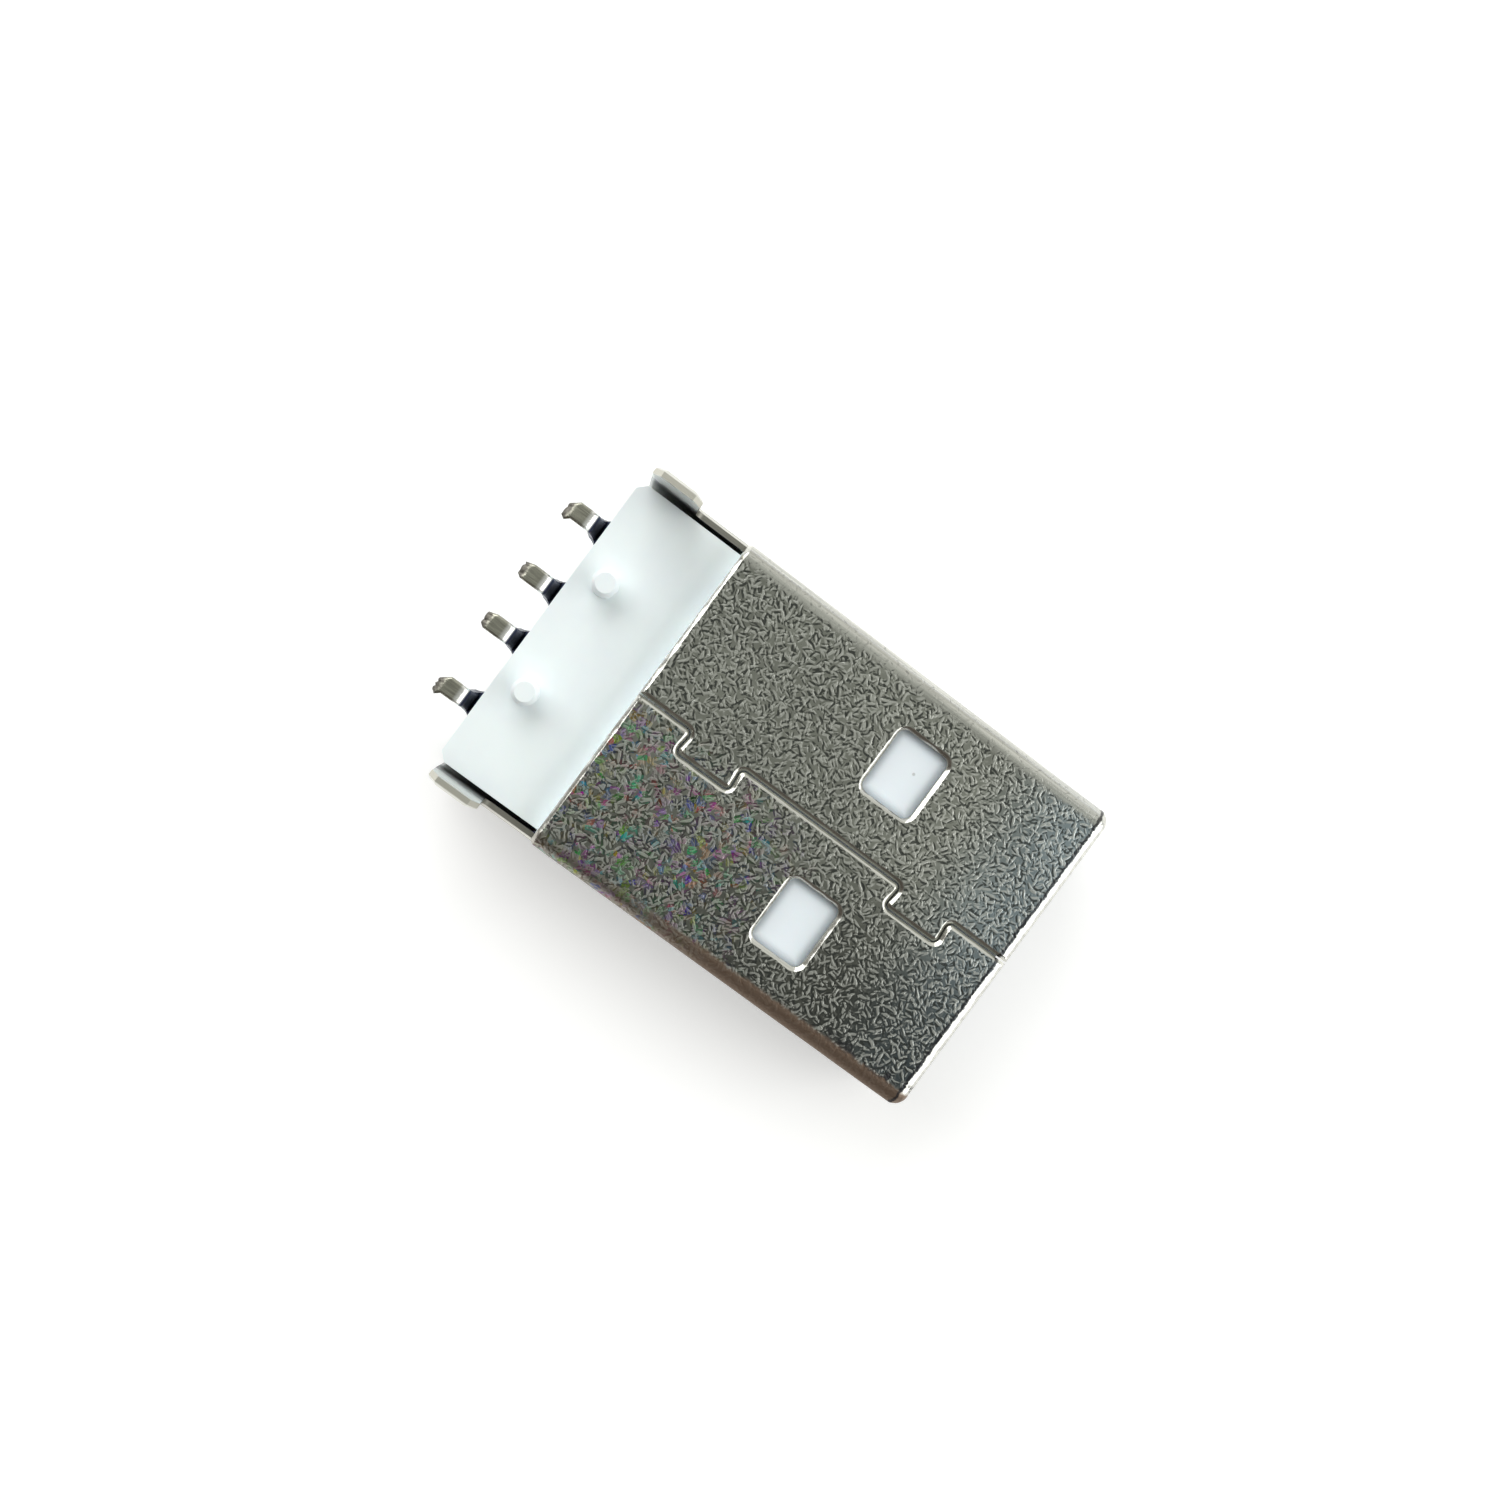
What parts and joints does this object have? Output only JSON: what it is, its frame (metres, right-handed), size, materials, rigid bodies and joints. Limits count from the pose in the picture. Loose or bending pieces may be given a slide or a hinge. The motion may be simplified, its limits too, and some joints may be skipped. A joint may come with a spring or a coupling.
{
  "type": "usb-a plug",
  "caption": "Board-mount plug: a folded metal shell with a keyed seam and windows, round a white moulding with pegs and flat contacts that end in solder tails.",
  "frame": {"origin": "under the middle of the whole plug, on the plain flat wall that it lies on", "axes": "+Z towards the board side, where the seam is; -Y out of the mouth; X across the width"},
  "size_m": [0.012, 0.0204, 0.0064],
  "materials": {
    "plated_sheet": "matt nickel plate over steel sheet, finely crystalline, with bright rolled edges",
    "white_moulding": "white glass-filled plastic, fine satin",
    "contact_metal": "tin-plated copper alloy, satin, with shorn tips"
  },
  "bodies": {
    "root": {"shell": "plated_sheet", "housing": "white_moulding", "power_contact": "contact_metal", "data_minus_contact": "contact_metal", "data_plus_contact": "contact_metal", "ground_contact": "contact_metal"}
  },
  "joints": []
}
